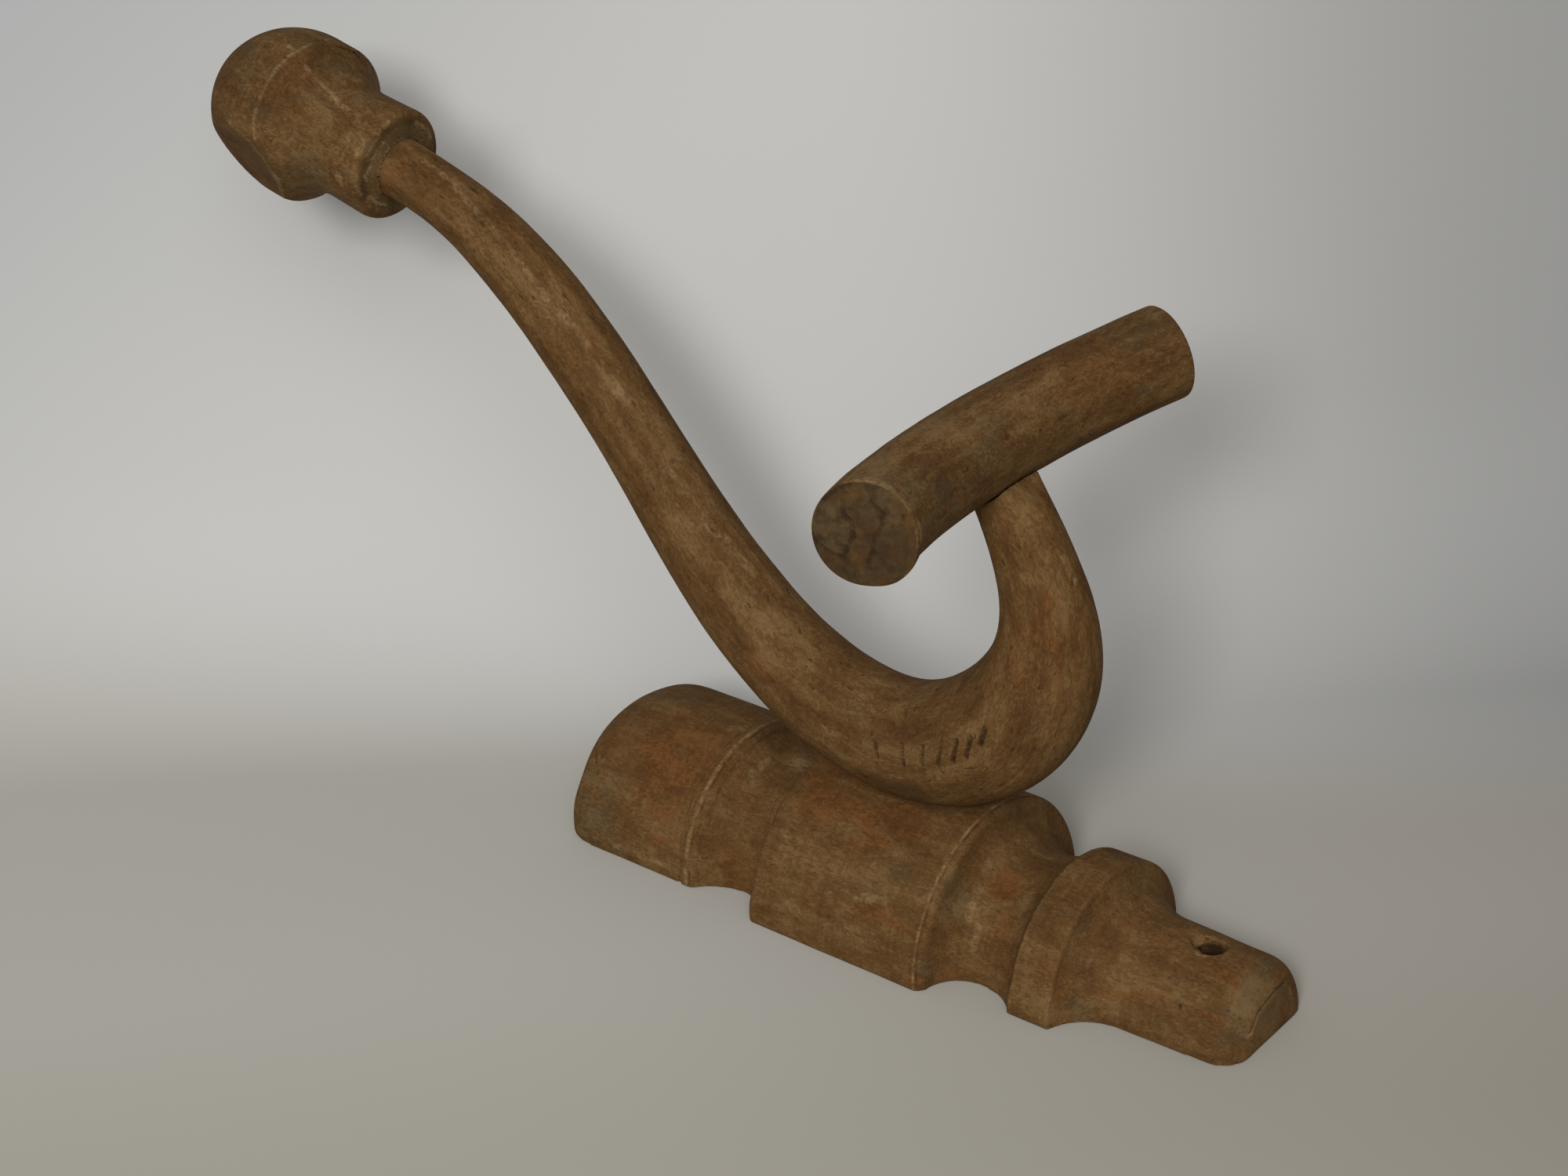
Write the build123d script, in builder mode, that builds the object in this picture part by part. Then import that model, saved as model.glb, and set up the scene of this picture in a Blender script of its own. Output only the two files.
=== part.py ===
from build123d import *
import math
import os

os.makedirs("parts", exist_ok=True)

# Double wall hook of turned and bent wood. Millimetres throughout.
# The flat back of the base lies on z = 0. +X runs down the wall towards the narrow tail with the
# screw hole, +Z stands straight out from the wall, and the origin is on the back, under the middle
# of the thick barrel. Everything but the crossbar's offset is laid out on the middle plane y = 0.

# ---------------------------------------------------------------- base plate, a half-round turning
axis_rise = 0.8              # the turning's axis lies this far above the flat back
upper_length = 84.3          # middle of the barrel to the round upper end
lower_length = 94.1          # middle of the barrel to the end of the tail
barrel_radius = 30.0
barrel_length = 45.6
barrel_lip = 1.2             # small round on the barrel's upper edge
shoulder_width = 2.6         # rolled edge on the barrel's lower side
shoulder_drop = 2.3
dome_radius = 27.4
dome_round = 7.2             # rounded rim of the upper end, measured across the turning
dome_run = 11.0              # the same rounding measured along it
bead_rise = 0.4              # low bead that ends the upper piece of the turning
bead_width = 4.8
bead_crest = 2.2             # from the bead's start to its highest line
bead_drop = 1.2              # the bead ends this far below the upper piece's side
groove_width = 0.9           # tool line beside the bead
groove_depth = 0.6
upper_cove_length = 18.8
upper_cove_fall = 7.9        # from the bead to the bottom of the upper cove
upper_cove_radius = 22.2     # radius left at the bottom
upper_cove_rise = 3.2        # how far the cove comes up again at the barrel
lower_cove_length = 21.8
lower_cove_fall = 11.8       # from the barrel to the bottom of the lower cove
lower_cove_radius = 20.1
lower_cove_rise = 4.1
disc_radius = 24.9
disc_length = 10.4
disc_round = 0.6
ogee_length = 11.5           # hollow fall from the disc to the tail
tail_radius = 16.1
tail_taper = 0.6
tail_round = 7.0

wall_screw_bore = 6.4        # clearance bore for the wall screw, through the tail
wall_screw_at = 78.6         # middle of the barrel to the middle of the bore
wall_screw_aside = 1.2       # the bore was drilled a little off the middle plane
chip_size = 2.2              # splinter broken from the bore's upper edge
chip_aside = 0.55
chip_tilt = 20.0
chip_swing = 35.0

# ---------------------------------------------------------------- bent arm, one round tapering rod
# Middle line of the rod down to the outer bend: along the base, height above the barrel's crown,
# radius there.
arm_stations = [
    (-143.4, 117.3, 7.5),
    (-110.9, 103.2, 8.2),
    (-87.0, 81.4, 9.0),
    (-68.9, 59.3, 9.3),
    (-52.0, 38.2, 10.4),
    (-27.7, 18.0, 11.7),
    (1.5, 10.7, 13.3),
    (22.6, 18.3, 14.4),
    (34.0, 30.1, 13.7),
]
# Its last stretch, up to the crossbar: along and below from the bar's middle, radius there.
arm_end_stations = [
    (14.2, 32.8, 9.7),
    (5.4, 10.4, 7.6),
]
arm_tip_rise = 13.5          # degrees that the rod still climbs where it enters the knob
arm_end_radius = 7.5
arm_end_tangent = (-0.47, 0.88)
tenon_length = 22.0          # end of the rod inside the knob
pare_start = 5.6             # pared flat on the outer side, under the crossbar
pare_angle = 22.0

# ---------------------------------------------------------------- crossbar, a bowed round rod
bar_radius = 10.55
bar_near = 53.5              # joint to the sawn end on the -Y side, along the bow
bar_far = 53.0               # joint to the other end
bar_bow_radius = 130.0
bar_droop = 20.0             # degrees that the bow's ends point up from the base's length
bar_edge = 0.8
bar_along = 24.9
bar_rise = 87.5              # middle of the bar above the barrel's crown

# ---------------------------------------------------------------- knob, a turned pull
collar_radius = 13.8
collar_round = 2.6
collar_length = 13.5
waist_radius = 13.5
flare_length = 13.5          # hollow flare from the waist to the head's rim
rim_radius = 19.8
head_radius = 20.0
ball_length = 22.1           # ball end, a little longer than round
head_band = 7.0              # straight stretch between the rim and the ball end
flat_depth = 3.4             # flat spot on the head's side
flat_turn = 27.7             # degrees that the flat faces below the -Y side
flat_tilt = 5.7

# ---------------------------------------------------------------- joints and fasteners
glue_gap = 0.1
socket_spare = 1.5           # room for glue past the tenon's end
peg_radius = 3.0
peg_in_arm = 12.0
peg_in_bar = 14.0
peg_chamfer = 0.6
screw_radius = 2.25
screw_head_radius = 4.4
screw_head_height = 3.4
screw_sink = 0.6             # head lies this far below the flat back
screw_length = 40.0
screw_tip = 5.0
screw_slot_width = 1.1
screw_slot_depth = 1.2
screw_spacing = 16.0
screw_side_gap = 0.15

# ---------------------------------------------------------------- places worked out from the sizes
half_barrel = barrel_length / 2
crown = axis_rise + barrel_radius
turning_axis = Axis((0, 0, axis_rise), (1, 0, 0))
bead_fall = -half_barrel - upper_cove_length
bead_start = bead_fall - bead_width
upper_cove_low = bead_fall + upper_cove_fall
disc_start = half_barrel + lower_cove_length
disc_end = disc_start + disc_length
lower_cove_low = half_barrel + lower_cove_fall
tail_start = disc_end + ogee_length
screw_places = (-screw_spacing / 2, screw_spacing / 2)

bar_middle = Vector(bar_along, 0, crown + bar_rise)
arm_points = [(along, crown + rise) for along, rise, radius in arm_stations]
arm_points += [(bar_middle.X + along, bar_middle.Z - below) for along, below, radius in arm_end_stations]
arm_radii = [radius for along, height, radius in arm_stations + arm_end_stations]
bow_direction = Vector(math.cos(math.radians(bar_droop)), 0, math.sin(math.radians(bar_droop)))
knob_direction = Vector(-math.cos(math.radians(arm_tip_rise)), 0, math.sin(math.radians(arm_tip_rise)))
knob_seat = Vector(arm_points[0][0], 0, arm_points[0][1])
knob_plane = Plane(origin=knob_seat, x_dir=knob_direction, z_dir=(0, 1, 0))

# The crossbar turns about the far-off middle of its bow; both the bar and the hollow that the
# arm's end is coped to are revolved there.
bow_middle = bar_middle + bow_direction * bar_bow_radius
bow_axis = Axis(bow_middle, Vector(0, 1, 0).cross(bow_direction))
near_turn = math.degrees(bar_near / bar_bow_radius)
far_turn = math.degrees(bar_far / bar_bow_radius)
near_end = bow_middle - (bow_direction * bar_bow_radius).rotate(bow_axis, -near_turn)
near_direction = Vector(0, 1, 0).rotate(bow_axis, -near_turn)


def bowed_rod(radius):
    """Round rod of the given radius along the crossbar's bow."""
    with BuildPart() as rod:
        with BuildSketch(Plane(origin=near_end, z_dir=near_direction)):
            Circle(radius)
        revolve(axis=bow_axis, revolution_arc=near_turn + far_turn)
    return rod.part


crossbar_blank = bowed_rod(bar_radius)
crossbar_hollow = bowed_rod(bar_radius + glue_gap)

# ---------------------------------------------------------------- base plate
with BuildPart() as base_plate:
    with BuildSketch(Plane.XY.offset(axis_rise)):
        with BuildLine():
            Line((-upper_length, 0), (-upper_length, dome_radius - dome_round))
            rim_middle = (-upper_length + dome_run, dome_radius - dome_round)
            EllipticalCenterArc(rim_middle, dome_run, dome_round, 90, arc_size=90)
            groove = Polyline(
                (rim_middle[0], dome_radius),
                (bead_start - groove_width, dome_radius),
                (bead_start - groove_width / 2, dome_radius - groove_depth),
                (bead_start, dome_radius),
            )
            bead = ThreePointArc(
                groove @ 1,
                (bead_start + bead_crest, dome_radius + bead_rise),
                (bead_fall, dome_radius - bead_drop),
            )
            cove = TangentArc(
                bead @ 1, (upper_cove_low, upper_cove_radius), tangent=(1, -1)
            )
            cove_lift = TangentArc(
                cove @ 1, (-half_barrel, upper_cove_radius + upper_cove_rise), tangent=cove % 1
            )
            Line(cove_lift @ 1, (-half_barrel, barrel_radius - barrel_lip))
            lip = CenterArc(
                (-half_barrel + barrel_lip, barrel_radius - barrel_lip), barrel_lip, 180, -90
            )
            Line(lip @ 1, (half_barrel, barrel_radius))
            shoulder = TangentArc(
                (half_barrel, barrel_radius),
                (half_barrel + shoulder_width, barrel_radius - shoulder_drop),
                tangent=(1, 0),
            )
            hollow = TangentArc(
                shoulder @ 1, (lower_cove_low, lower_cove_radius), tangent=shoulder % 1
            )
            hollow_lift = TangentArc(
                hollow @ 1, (disc_start, lower_cove_radius + lower_cove_rise), tangent=(1, 0)
            )
            Line(hollow_lift @ 1, (disc_start, disc_radius - disc_round))
            disc_edge = CenterArc(
                (disc_start + disc_round, disc_radius - disc_round), disc_round, 180, -90
            )
            Line(disc_edge @ 1, (disc_end - disc_round, disc_radius))
            disc_fall = CenterArc(
                (disc_end - disc_round, disc_radius - disc_round), disc_round, 90, -90
            )
            ogee = TangentArc(
                (tail_start, tail_radius),
                (disc_end, disc_radius - disc_round),
                tangent=(-1, 0),
            )
            tail_end_radius = tail_radius - tail_taper
            Line((tail_start, tail_radius), (lower_length - tail_round, tail_end_radius))
            tail_rim = CenterArc(
                (lower_length - tail_round, tail_end_radius - tail_round), tail_round, 90, -90
            )
            Line(tail_rim @ 1, (lower_length, 0))
            Line((lower_length, 0), (-upper_length, 0))
        make_face()
    revolve(axis=turning_axis, revolution_arc=360)
    split(bisect_by=Plane.XY, keep=Keep.TOP)
    # wall screw bore in the tail, and the splinter missing from its edge
    with Locations((wall_screw_at, wall_screw_aside, 0)):
        Cylinder(
            wall_screw_bore / 2,
            disc_radius,
            align=(Align.CENTER, Align.CENTER, Align.MIN),
            mode=Mode.SUBTRACT,
        )
    tail_crown = axis_rise + tail_radius - tail_taper
    chip_at = (wall_screw_at - wall_screw_bore / 2, wall_screw_aside + chip_aside, tail_crown)
    with Locations(chip_at):
        chip_turn = (0, chip_tilt, chip_swing)
        Box(chip_size, chip_size, chip_size, rotation=chip_turn, mode=Mode.SUBTRACT)
    # clearance holes for the two screws that hold the arm, countersunk from the flat back
    with Locations(*[(place, 0, 0) for place in screw_places]):
        Cylinder(
            screw_radius + screw_side_gap,
            crown,
            align=(Align.CENTER, Align.CENTER, Align.MIN),
            mode=Mode.SUBTRACT,
        )
        Cylinder(
            screw_head_radius + screw_side_gap,
            screw_sink,
            align=(Align.CENTER, Align.CENTER, Align.MIN),
            mode=Mode.SUBTRACT,
        )
    with Locations(*[(place, 0, screw_sink) for place in screw_places]):
        Cone(
            screw_head_radius + screw_side_gap,
            screw_radius + screw_side_gap,
            screw_head_height,
            align=(Align.CENTER, Align.CENTER, Align.MIN),
            mode=Mode.SUBTRACT,
        )
base_plate.part.label = "base_plate"
export_step(base_plate.part, "parts/base_plate.step")

# ---------------------------------------------------------------- bent arm
# One rod swept through round sections that swell from the knob down to the bend and thin again
# towards the crossbar. Each section starts on the far side, so that the sweep doesn't twist. The
# straight tenon inside the knob carries on along the rod's tip.
with BuildPart() as bent_arm:
    with BuildLine(Plane.XZ) as arm_line:
        Spline(
            *arm_points,
            (bar_middle.X, bar_middle.Z),
            tangents=((-knob_direction.X, -knob_direction.Z), arm_end_tangent),
        )
    arm_edge = arm_line.edges()[0]
    for (along, out), radius in zip(arm_points, arm_radii):
        station = Vector(along, 0, out)
        station_plane = Plane(
            origin=station, x_dir=(0, 1, 0), z_dir=arm_edge.tangent_at(station)
        )
        with BuildSketch(station_plane):
            Circle(radius)
    with BuildSketch(Plane(origin=bar_middle, x_dir=(0, 1, 0), z_dir=arm_edge % 1)):
        Circle(arm_end_radius)
    sweep(path=arm_edge, multisection=True)
    with BuildSketch(Plane(origin=knob_seat, z_dir=knob_direction)):
        Circle(arm_radii[0])
    extrude(amount=tenon_length)
    # underside hollowed to sit on the barrel, and the end coped to the round of the crossbar
    with BuildSketch(Plane.YZ.offset(-half_barrel)):
        with Locations((0, axis_rise)):
            Circle(barrel_radius + glue_gap)
    extrude(amount=barrel_length, mode=Mode.SUBTRACT)
    add(crossbar_hollow, mode=Mode.SUBTRACT)
    # pared flat on the outer side, just under the crossbar
    end_direction = arm_edge % 1
    outer_side = Vector(0, 1, 0).cross(end_direction)
    pare_normal = outer_side.rotate(Axis.Y, -pare_angle)
    pare_point = bar_middle - end_direction * (bar_radius + pare_start) + outer_side * arm_end_radius
    split(bisect_by=Plane(origin=pare_point, z_dir=pare_normal), keep=Keep.BOTTOM)
    # pilot holes for the two screws from the back, and the hole for the peg
    with Locations(*[(place, 0, 0) for place in screw_places]):
        Cylinder(
            screw_radius + glue_gap,
            screw_sink + screw_length + screw_side_gap,
            align=(Align.CENTER, Align.CENTER, Align.MIN),
            mode=Mode.SUBTRACT,
        )
    with BuildSketch(Plane(origin=bar_middle, z_dir=-end_direction)):
        Circle(peg_radius + glue_gap)
    extrude(amount=bar_radius + peg_in_arm + glue_gap, mode=Mode.SUBTRACT)
bent_arm.part.label = "bent_arm"
export_step(bent_arm.part, "parts/bent_arm.step")

# ---------------------------------------------------------------- crossbar
with BuildPart() as crossbar:
    add(crossbar_blank)
    fillet(crossbar.edges().filter_by(GeomType.CIRCLE).group_by(SortBy.LENGTH)[0], bar_edge)
    peg_mouth = bar_middle - end_direction * (bar_radius + glue_gap)
    with BuildSketch(Plane(origin=peg_mouth, z_dir=end_direction)):
        Circle(peg_radius + glue_gap)
    extrude(amount=glue_gap + peg_in_bar + glue_gap, mode=Mode.SUBTRACT)
crossbar.part.label = "crossbar"
export_step(crossbar.part, "parts/crossbar.step")

with BuildPart() as crossbar_peg:
    peg_foot = bar_middle - end_direction * (bar_radius + peg_in_arm)
    with BuildSketch(Plane(origin=peg_foot, z_dir=end_direction)):
        Circle(peg_radius)
    extrude(amount=peg_in_arm + peg_in_bar)
    chamfer(crossbar_peg.edges().filter_by(GeomType.CIRCLE), peg_chamfer)
crossbar_peg.part.label = "crossbar_peg"
export_step(crossbar_peg.part, "parts/crossbar_peg.step")

# ---------------------------------------------------------------- knob
with BuildPart() as knob:
    with BuildSketch(knob_plane):
        with BuildLine():
            Line((0, 0), (0, collar_radius - collar_round))
            collar_rim = CenterArc(
                (collar_round, collar_radius - collar_round), collar_round, 180, -90
            )
            collar = Line(collar_rim @ 1, (collar_length, waist_radius))
            flare = TangentArc(
                collar @ 1, (collar_length + flare_length, rim_radius), tangent=(1, 0)
            )
            head_start = collar_length + flare_length + head_band
            Line(flare @ 1, (head_start, head_radius))
            EllipticalCenterArc((head_start, 0), ball_length, head_radius, 0, arc_size=90)
            Line((head_start + ball_length, 0), (0, 0))
        make_face()
    revolve(axis=Axis(knob_seat, knob_direction), revolution_arc=360)
    # blind socket for the rod's tenon
    with BuildSketch(Plane(origin=knob_seat, z_dir=knob_direction)):
        Circle(arm_radii[0] + glue_gap)
    extrude(amount=tenon_length + socket_spare, mode=Mode.SUBTRACT)
    # flat spot on the near, lower side of the head, leaning in towards the ball end
    flat_normal = (
        Vector(0, -1, 0) * math.cos(math.radians(flat_turn))
        - knob_plane.y_dir * math.sin(math.radians(flat_turn))
        + knob_direction * math.sin(math.radians(flat_tilt))
    )
    flat_point = knob_seat + knob_direction * head_start + flat_normal * (head_radius - flat_depth)
    split(bisect_by=Plane(origin=flat_point, z_dir=flat_normal), keep=Keep.BOTTOM)
knob.part.label = "knob"
export_step(knob.part, "parts/knob.step")

# ---------------------------------------------------------------- the two screws behind the arm
for name, place in zip(("arm_screw_upper", "arm_screw_lower"), screw_places):
    with BuildPart() as arm_screw:
        with BuildSketch(Plane.XZ.shift_origin((place, 0, 0))):
            with BuildLine():
                Polyline(
                    (0, screw_sink),
                    (screw_head_radius, screw_sink),
                    (screw_radius, screw_sink + screw_head_height),
                    (screw_radius, screw_sink + screw_length - screw_tip),
                    (0, screw_sink + screw_length),
                    close=True,
                )
            make_face()
        revolve(axis=Axis((place, 0, 0), (0, 0, 1)), revolution_arc=360)
        with Locations((place, 0, screw_sink)):
            Box(
                2 * screw_head_radius,
                screw_slot_width,
                screw_slot_depth,
                align=(Align.CENTER, Align.CENTER, Align.MIN),
                mode=Mode.SUBTRACT,
            )
    arm_screw.part.label = name
    export_step(arm_screw.part, f"parts/{name}.step")
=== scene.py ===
import math

import bpy
import numpy as np
from mathutils import Matrix, Vector


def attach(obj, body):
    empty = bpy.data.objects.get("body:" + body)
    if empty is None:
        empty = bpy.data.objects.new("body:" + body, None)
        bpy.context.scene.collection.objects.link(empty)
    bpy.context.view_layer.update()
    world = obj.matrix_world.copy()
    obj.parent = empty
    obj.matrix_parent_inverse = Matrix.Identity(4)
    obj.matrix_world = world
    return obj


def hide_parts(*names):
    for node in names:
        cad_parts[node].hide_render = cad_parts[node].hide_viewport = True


bl_info = {
    "name": "Double wall hook",
    "version": (1, 0, 0),
    "blender": (4, 5, 0),
    "location": "View3D > Sidebar > Wall hook",
    "description": "Worn wooden surfaces for a double wall hook, built over its CAD pieces",
    "category": "Object",
}

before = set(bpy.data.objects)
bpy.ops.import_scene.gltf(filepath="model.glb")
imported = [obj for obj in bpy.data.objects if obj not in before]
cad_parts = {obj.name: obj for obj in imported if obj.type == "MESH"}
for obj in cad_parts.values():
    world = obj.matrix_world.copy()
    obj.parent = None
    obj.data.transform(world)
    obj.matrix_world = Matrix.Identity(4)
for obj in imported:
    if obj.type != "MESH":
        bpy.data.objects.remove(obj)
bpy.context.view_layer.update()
MM = 0.001

# --- lines that the grain follows
# Places and lengths are in millimetres in the hook's own frame: x down the wall, y across and z out
# from the wall. Angles are in degrees.
TURNING_AXIS_RISE = 0.8
ARM_LINE = (
    (-143.4, 148.1), (-110.9, 134), (-87, 112.2), (-68.9, 90.1), (-52, 69), (-27.7, 48.8),
    (1.5, 41.5), (22.6, 49.1), (34, 60.9), (39.1, 85.5), (30.3, 107.9), (24.9, 118.3),
)
ARM_LINE_STEPS = 16
KNOB_RISE = 13.5
BAR_MIDDLE = (24.9, 0.0, 118.3)
BAR_BOW_RADIUS = 130.0
BAR_DROOP = 20.0

# --- marks of making and of wear
# A stroke is a line of points on the surface. Lines are: mask, half width, strength, then strokes.
# Spots are: mask, middle, reach, strength. Nudges are: middle, reach, move.
ARM_CUTS = (
    ((1.8, -12.6, 45.9), (2.7, -13.3, 43.4)), ((9.5, -12.9, 48.4), (10.4, -13.8, 44.3)),
    ((15.7, -13.5, 50.2), (15.6, -14.1, 46.4)), ((21, -13.6, 53.6), (20.2, -14.3, 47.9)),
    ((25.3, -14, 55.2), (24.3, -14.4, 50.1)), ((29, -14.1, 57.2), (27.8, -14.3, 52.2)),
    ((32.6, -13.7, 60.4), (31.4, -14.1, 56.1)),
)
ARM_FLECKS = (
    ((-119, -0.1, 147.4), (-117.8, 0.2, 146.9)), ((-111.9, -4.9, 142.1), (-110.9, -5.1, 141.4)),
    ((7.2, -8.2, 53.9), (7.9, -9.2, 53.3)), ((9.2, -7.1, 55.6), (9.6, -8.2, 55)),
    ((-18.7, -9.2, 52.9), (-17.6, -9.4, 52.2)), ((-10, -5.9, 53.5), (-9, -6.1, 53.2)),
    ((-0.2, -11.2, 48.5), (0.2, -11.8, 47.6)), ((44.3, -10.4, 71.9), (44.8, -9.6, 73)),
    ((38.3, -12.2, 56), (39, -12.1, 56.9)), ((21.1, -14.2, 46.4), (21.9, -14.1, 45.9)),
    ((-26.8, -1.9, 61.5), (-26, -2.6, 60.6)), ((-35, -2.3, 67.2), (-34.2, -2.9, 66.4)),
    ((46.2, -0.2, 93.9), (46.9, -1, 92.4)), ((38, -7.2, 100.8), (37.5, -7.4, 101.6)),
)
ARM_LINES = (
    ("rubbed", 1.1, 0.8,
     ((-132, -2, 152), (-125.6, -1.8, 149.8), (-115.8, -3.8, 144.8), (-103.7, -4.8, 137.2),
      (-97.2, -5.4, 131.9), (-92.2, -5.6, 127.4))),
    ("rubbed", 1.4, 0.5,
     ((43.3, -1.7, 99.4), (44.5, -0.8, 97.4), (45.6, -0.1, 95.3), (46.6, 0.2, 92.9))),
    ("tone", 1.2, -0.7, ((33.7, -8, 101.2), (35.9, -8.1, 99.1), (38.5, -8.1, 96.4))),
    ("rubbed", 2.2, 0.5,
     ((-88.7, -5.3, 124.6), (-81, -5, 116.7), (-75.8, -4.7, 111), (-71.6, -4.1, 106.6)),
     ((-62, -5.3, 93.7), (-54.8, -4.2, 86.1), (-47.5, -2.7, 78.8), (-39.8, -1.7, 71.5))),
    ("tone", 2.4, -0.8,
     ((-92.4, -8.9, 117.5), (-89.4, -8.9, 114), (-81.6, -9, 105.4), (-71.4, -9.2, 92.8),
      (-64.4, -9.4, 85.7)),
     ((-97, 0.8, 134.1), (-82, 1.1, 120)),
     ((-47.2, -9.3, 70.8), (-40.3, -10.1, 63.2), (-33.6, -10.4, 57.4))),
)
ARM_SPOTS = (
    ("tone", (-93.5, -3.5, 130), 14, 0.8), ("tone", (-27.5, -7, 59.5), 14, 0.5),
    ("tone", (41, -4, 101.5), 9, -0.4), ("warmth", (-137.5, -6.5, 149.5), 5, 0.7),
    ("warmth", (33, -4, 104), 8, 0.5), ("warmth", (42, -10, 78), 22, 0.4),
    # (6, -6, 33) darkens the arm's underside where it sits on the base, as painted shade.
    ("warmth", (-84, -5, 119), 6, 0.5), ("tone", (6, -6, 33), 16, -0.5),
    ("tone", (-4, -10, 50), 16, 0.25), ("tone", (40, -4, 62), 14, -0.35),
    ("tone", (30, -8, 107), 5, -0.6), ("coolness", (8, -10, 34), 14, 0.45),
)
BASE_CRACKS = (
    ((-79.8, -18, 19.6), (-78.5, -19.4, 18.8), (-75.8, -21.8, 17)),
    ((93.5, 6.1, 10.5), (93.8, 1.7, 11), (94, -2.1, 10.4), (93.9, -5.6, 9.2), (94, -8.4, 6.1)),
)
BASE_SCRATCHES = (
    ((-29.6, -10.9, 20.2), (-28.1, -15.7, 16.9)), ((-22.4, -16.9, 25.4), (-21.6, -21.8, 21.4)),
    ((-21.2, -17.2, 25.3), (-20.6, -21.9, 21.2)),
)
BORE_SPLINTER = (
    ((74.5, 0.9, 16.6), (76.4, -1, 16.5)), ((74.8, 1, 16.6), (76.6, 0.9, 16.6)),
    ((74.7, 1.2, 16.6), (76.5, 2.8, 16.4)),
)
BASE_PITS = (((79.6, -12.9, 9.7), (79.7, -13.0, 9.4)),)
BASE_LINES = (
    ("rubbed", 1.8, 0.5, ((-38.5, -8.3, 23.1), (-37.8, -4.9, 23.8), (-37.4, -1.1, 24.1)),
     ((27.8, -7.2, 22.4), (28.4, -12.1, 19.3), (29.2, -16.3, 14.9), (29.9, -19.2, 9.7)),
     ((31, -15, 16), (31.6, -19.4, 8))),
    ("rubbed", 1.7, 0.42, ((-18.1, -21.6, 21.6), (-14.5, -23.3, 19.6)),
     ((-5.4, -26.7, 14.5), (5, -26.2, 15.6), (13.3, -25.3, 16.9)),
     ((4.7, -28.8, 9.3), (20.1, -29.2, 7.5)), ((-16, -28.3, 10), (-6, -29.3, 6)),
     ((-79.1, -26.3, 2.1), (-64, -26.9, 3), (-50, -27, 3))),
    ("tone", 2.6, 0.5, ((65.7, -13.4, 9.8), (77.7, -11.1, 12), (82.9, -10.4, 12.5)),
     ((62.4, -5.4, 16.7), (64.6, -13.2, 10.2), (64.5, -16, 3.8)),
     ((-16, -24, 18), (18, -24.5, 18))),
    ("warmth", 1.8, 0.55, ((61.5, -15.8, 7.5), (68.1, -14.1, 8.5), (76.9, -12.8, 10.1)),
     ((75.9, -14.3, 7.6), (84.8, -13.4, 8.8), (91.7, -11, 9.1)),
     ((82.8, -5.8, 15.3), (90.9, -5.4, 14.1))),
    ("coolness", 3.2, 0.75,
     ((89.3, 6.1, 14.7), (91.1, -2.6, 14.8), (91.3, -9.5, 11.2), (91.3, -13.3, 5.6))),
    ("rubbed", 0.6, 1, ((93.9, 7, 8), (94.1, 7.4, 5.8)), ((94, -8.1, 5.8), (93.8, -9.3, 5.7))),
    ("rubbed", 0.7, 0.7,
     ((75.3, -0.6, 16.3), (76.2, -2.6, 16.2), (78.4, -3, 16), (80.6, -1.8, 16))),
)
BASE_SPOTS = (
    ("warmth", (-55, -13, 24.5), 17, 0.62), ("warmth", (-70, -12, 24.5), 14, 0.4),
    ("warmth", (-58, -21, 17), 11, 0.4), ("warmth", (-13, -10, 29), 13, 0.62),
    ("warmth", (3, -13, 27.5), 13, 0.5), ("warmth", (-32, -22, 6), 9, 0.55),
    ("warmth", (33.5, -8.5, 19), 5.5, 0.75), ("warmth", (38, -14, 14), 5, 0.35),
    ("coolness", (-72, -24, 10), 15, 0.5), ("coolness", (-74, 2, 27), 16, 0.5),
    ("rubbed", (-31.5, 1, 23.5), 5.5, 0.7), ("coolness", (25.3, -27.5, 5.5), 3.5, 1),
    ("coolness", (27, -18, 19), 8, 0.5), ("coolness", (56, 10, 21), 8, 0.6),
    ("coolness", (59, -19, 3.5), 5, 0.7), ("coolness", (93.5, -2, 8.5), 10, 0.7),
    # (78, 6, 15) lightens the tail's top as a painted highlight.
    ("tone", (92, -6, 12), 8, 0.6), ("tone", (78, 6, 15), 9, 0.9),
    # These two darken the left cove below the arm: dirt, and painted shade from the arm above.
    ("tone", (-40.5, 4, 25.5), 7, -1), ("tone", (-43, 1, 27), 4, -0.8),
    # (8, -9, 29.5) darkens the barrel where the arm sits on it, as painted shade.
    ("tone", (8, -9, 29.5), 10, -0.5), ("tone", (40, -2, 21), 6, -0.5),
    ("tone", (50, -14, 21.6), 7, -0.4), ("tone", (57.5, -9, 19), 7, -0.6),
    ("tone", (54.5, -23.7, 5.5), 6, 0.7), ("tone", (-50, -26.8, 5), 14, 0.4),
    ("tone", (-80, -20, 10), 12, 0.3), ("tone", (0, -29, 8), 20, 0.15),
    ("tone", (-57, -24, 10), 12, 0.6), ("tone", (94, -4.5, 9), 6, 0.6),
    ("tone", (94, -2, 8), 11, 0.7),
)
# Rings lie round the turning's axis: place along it, half width, strength.
# Pale rings lie on the bead's crest and the rounded edges: rubbed pale, and painted highlight.
BASE_PALE_RINGS = ((-46.4, 0.3, 0.5), (-44.3, 0.8, 0.75), (23.2, 0.45, 0.75), (45.6, 0.5, 0.3))
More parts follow.
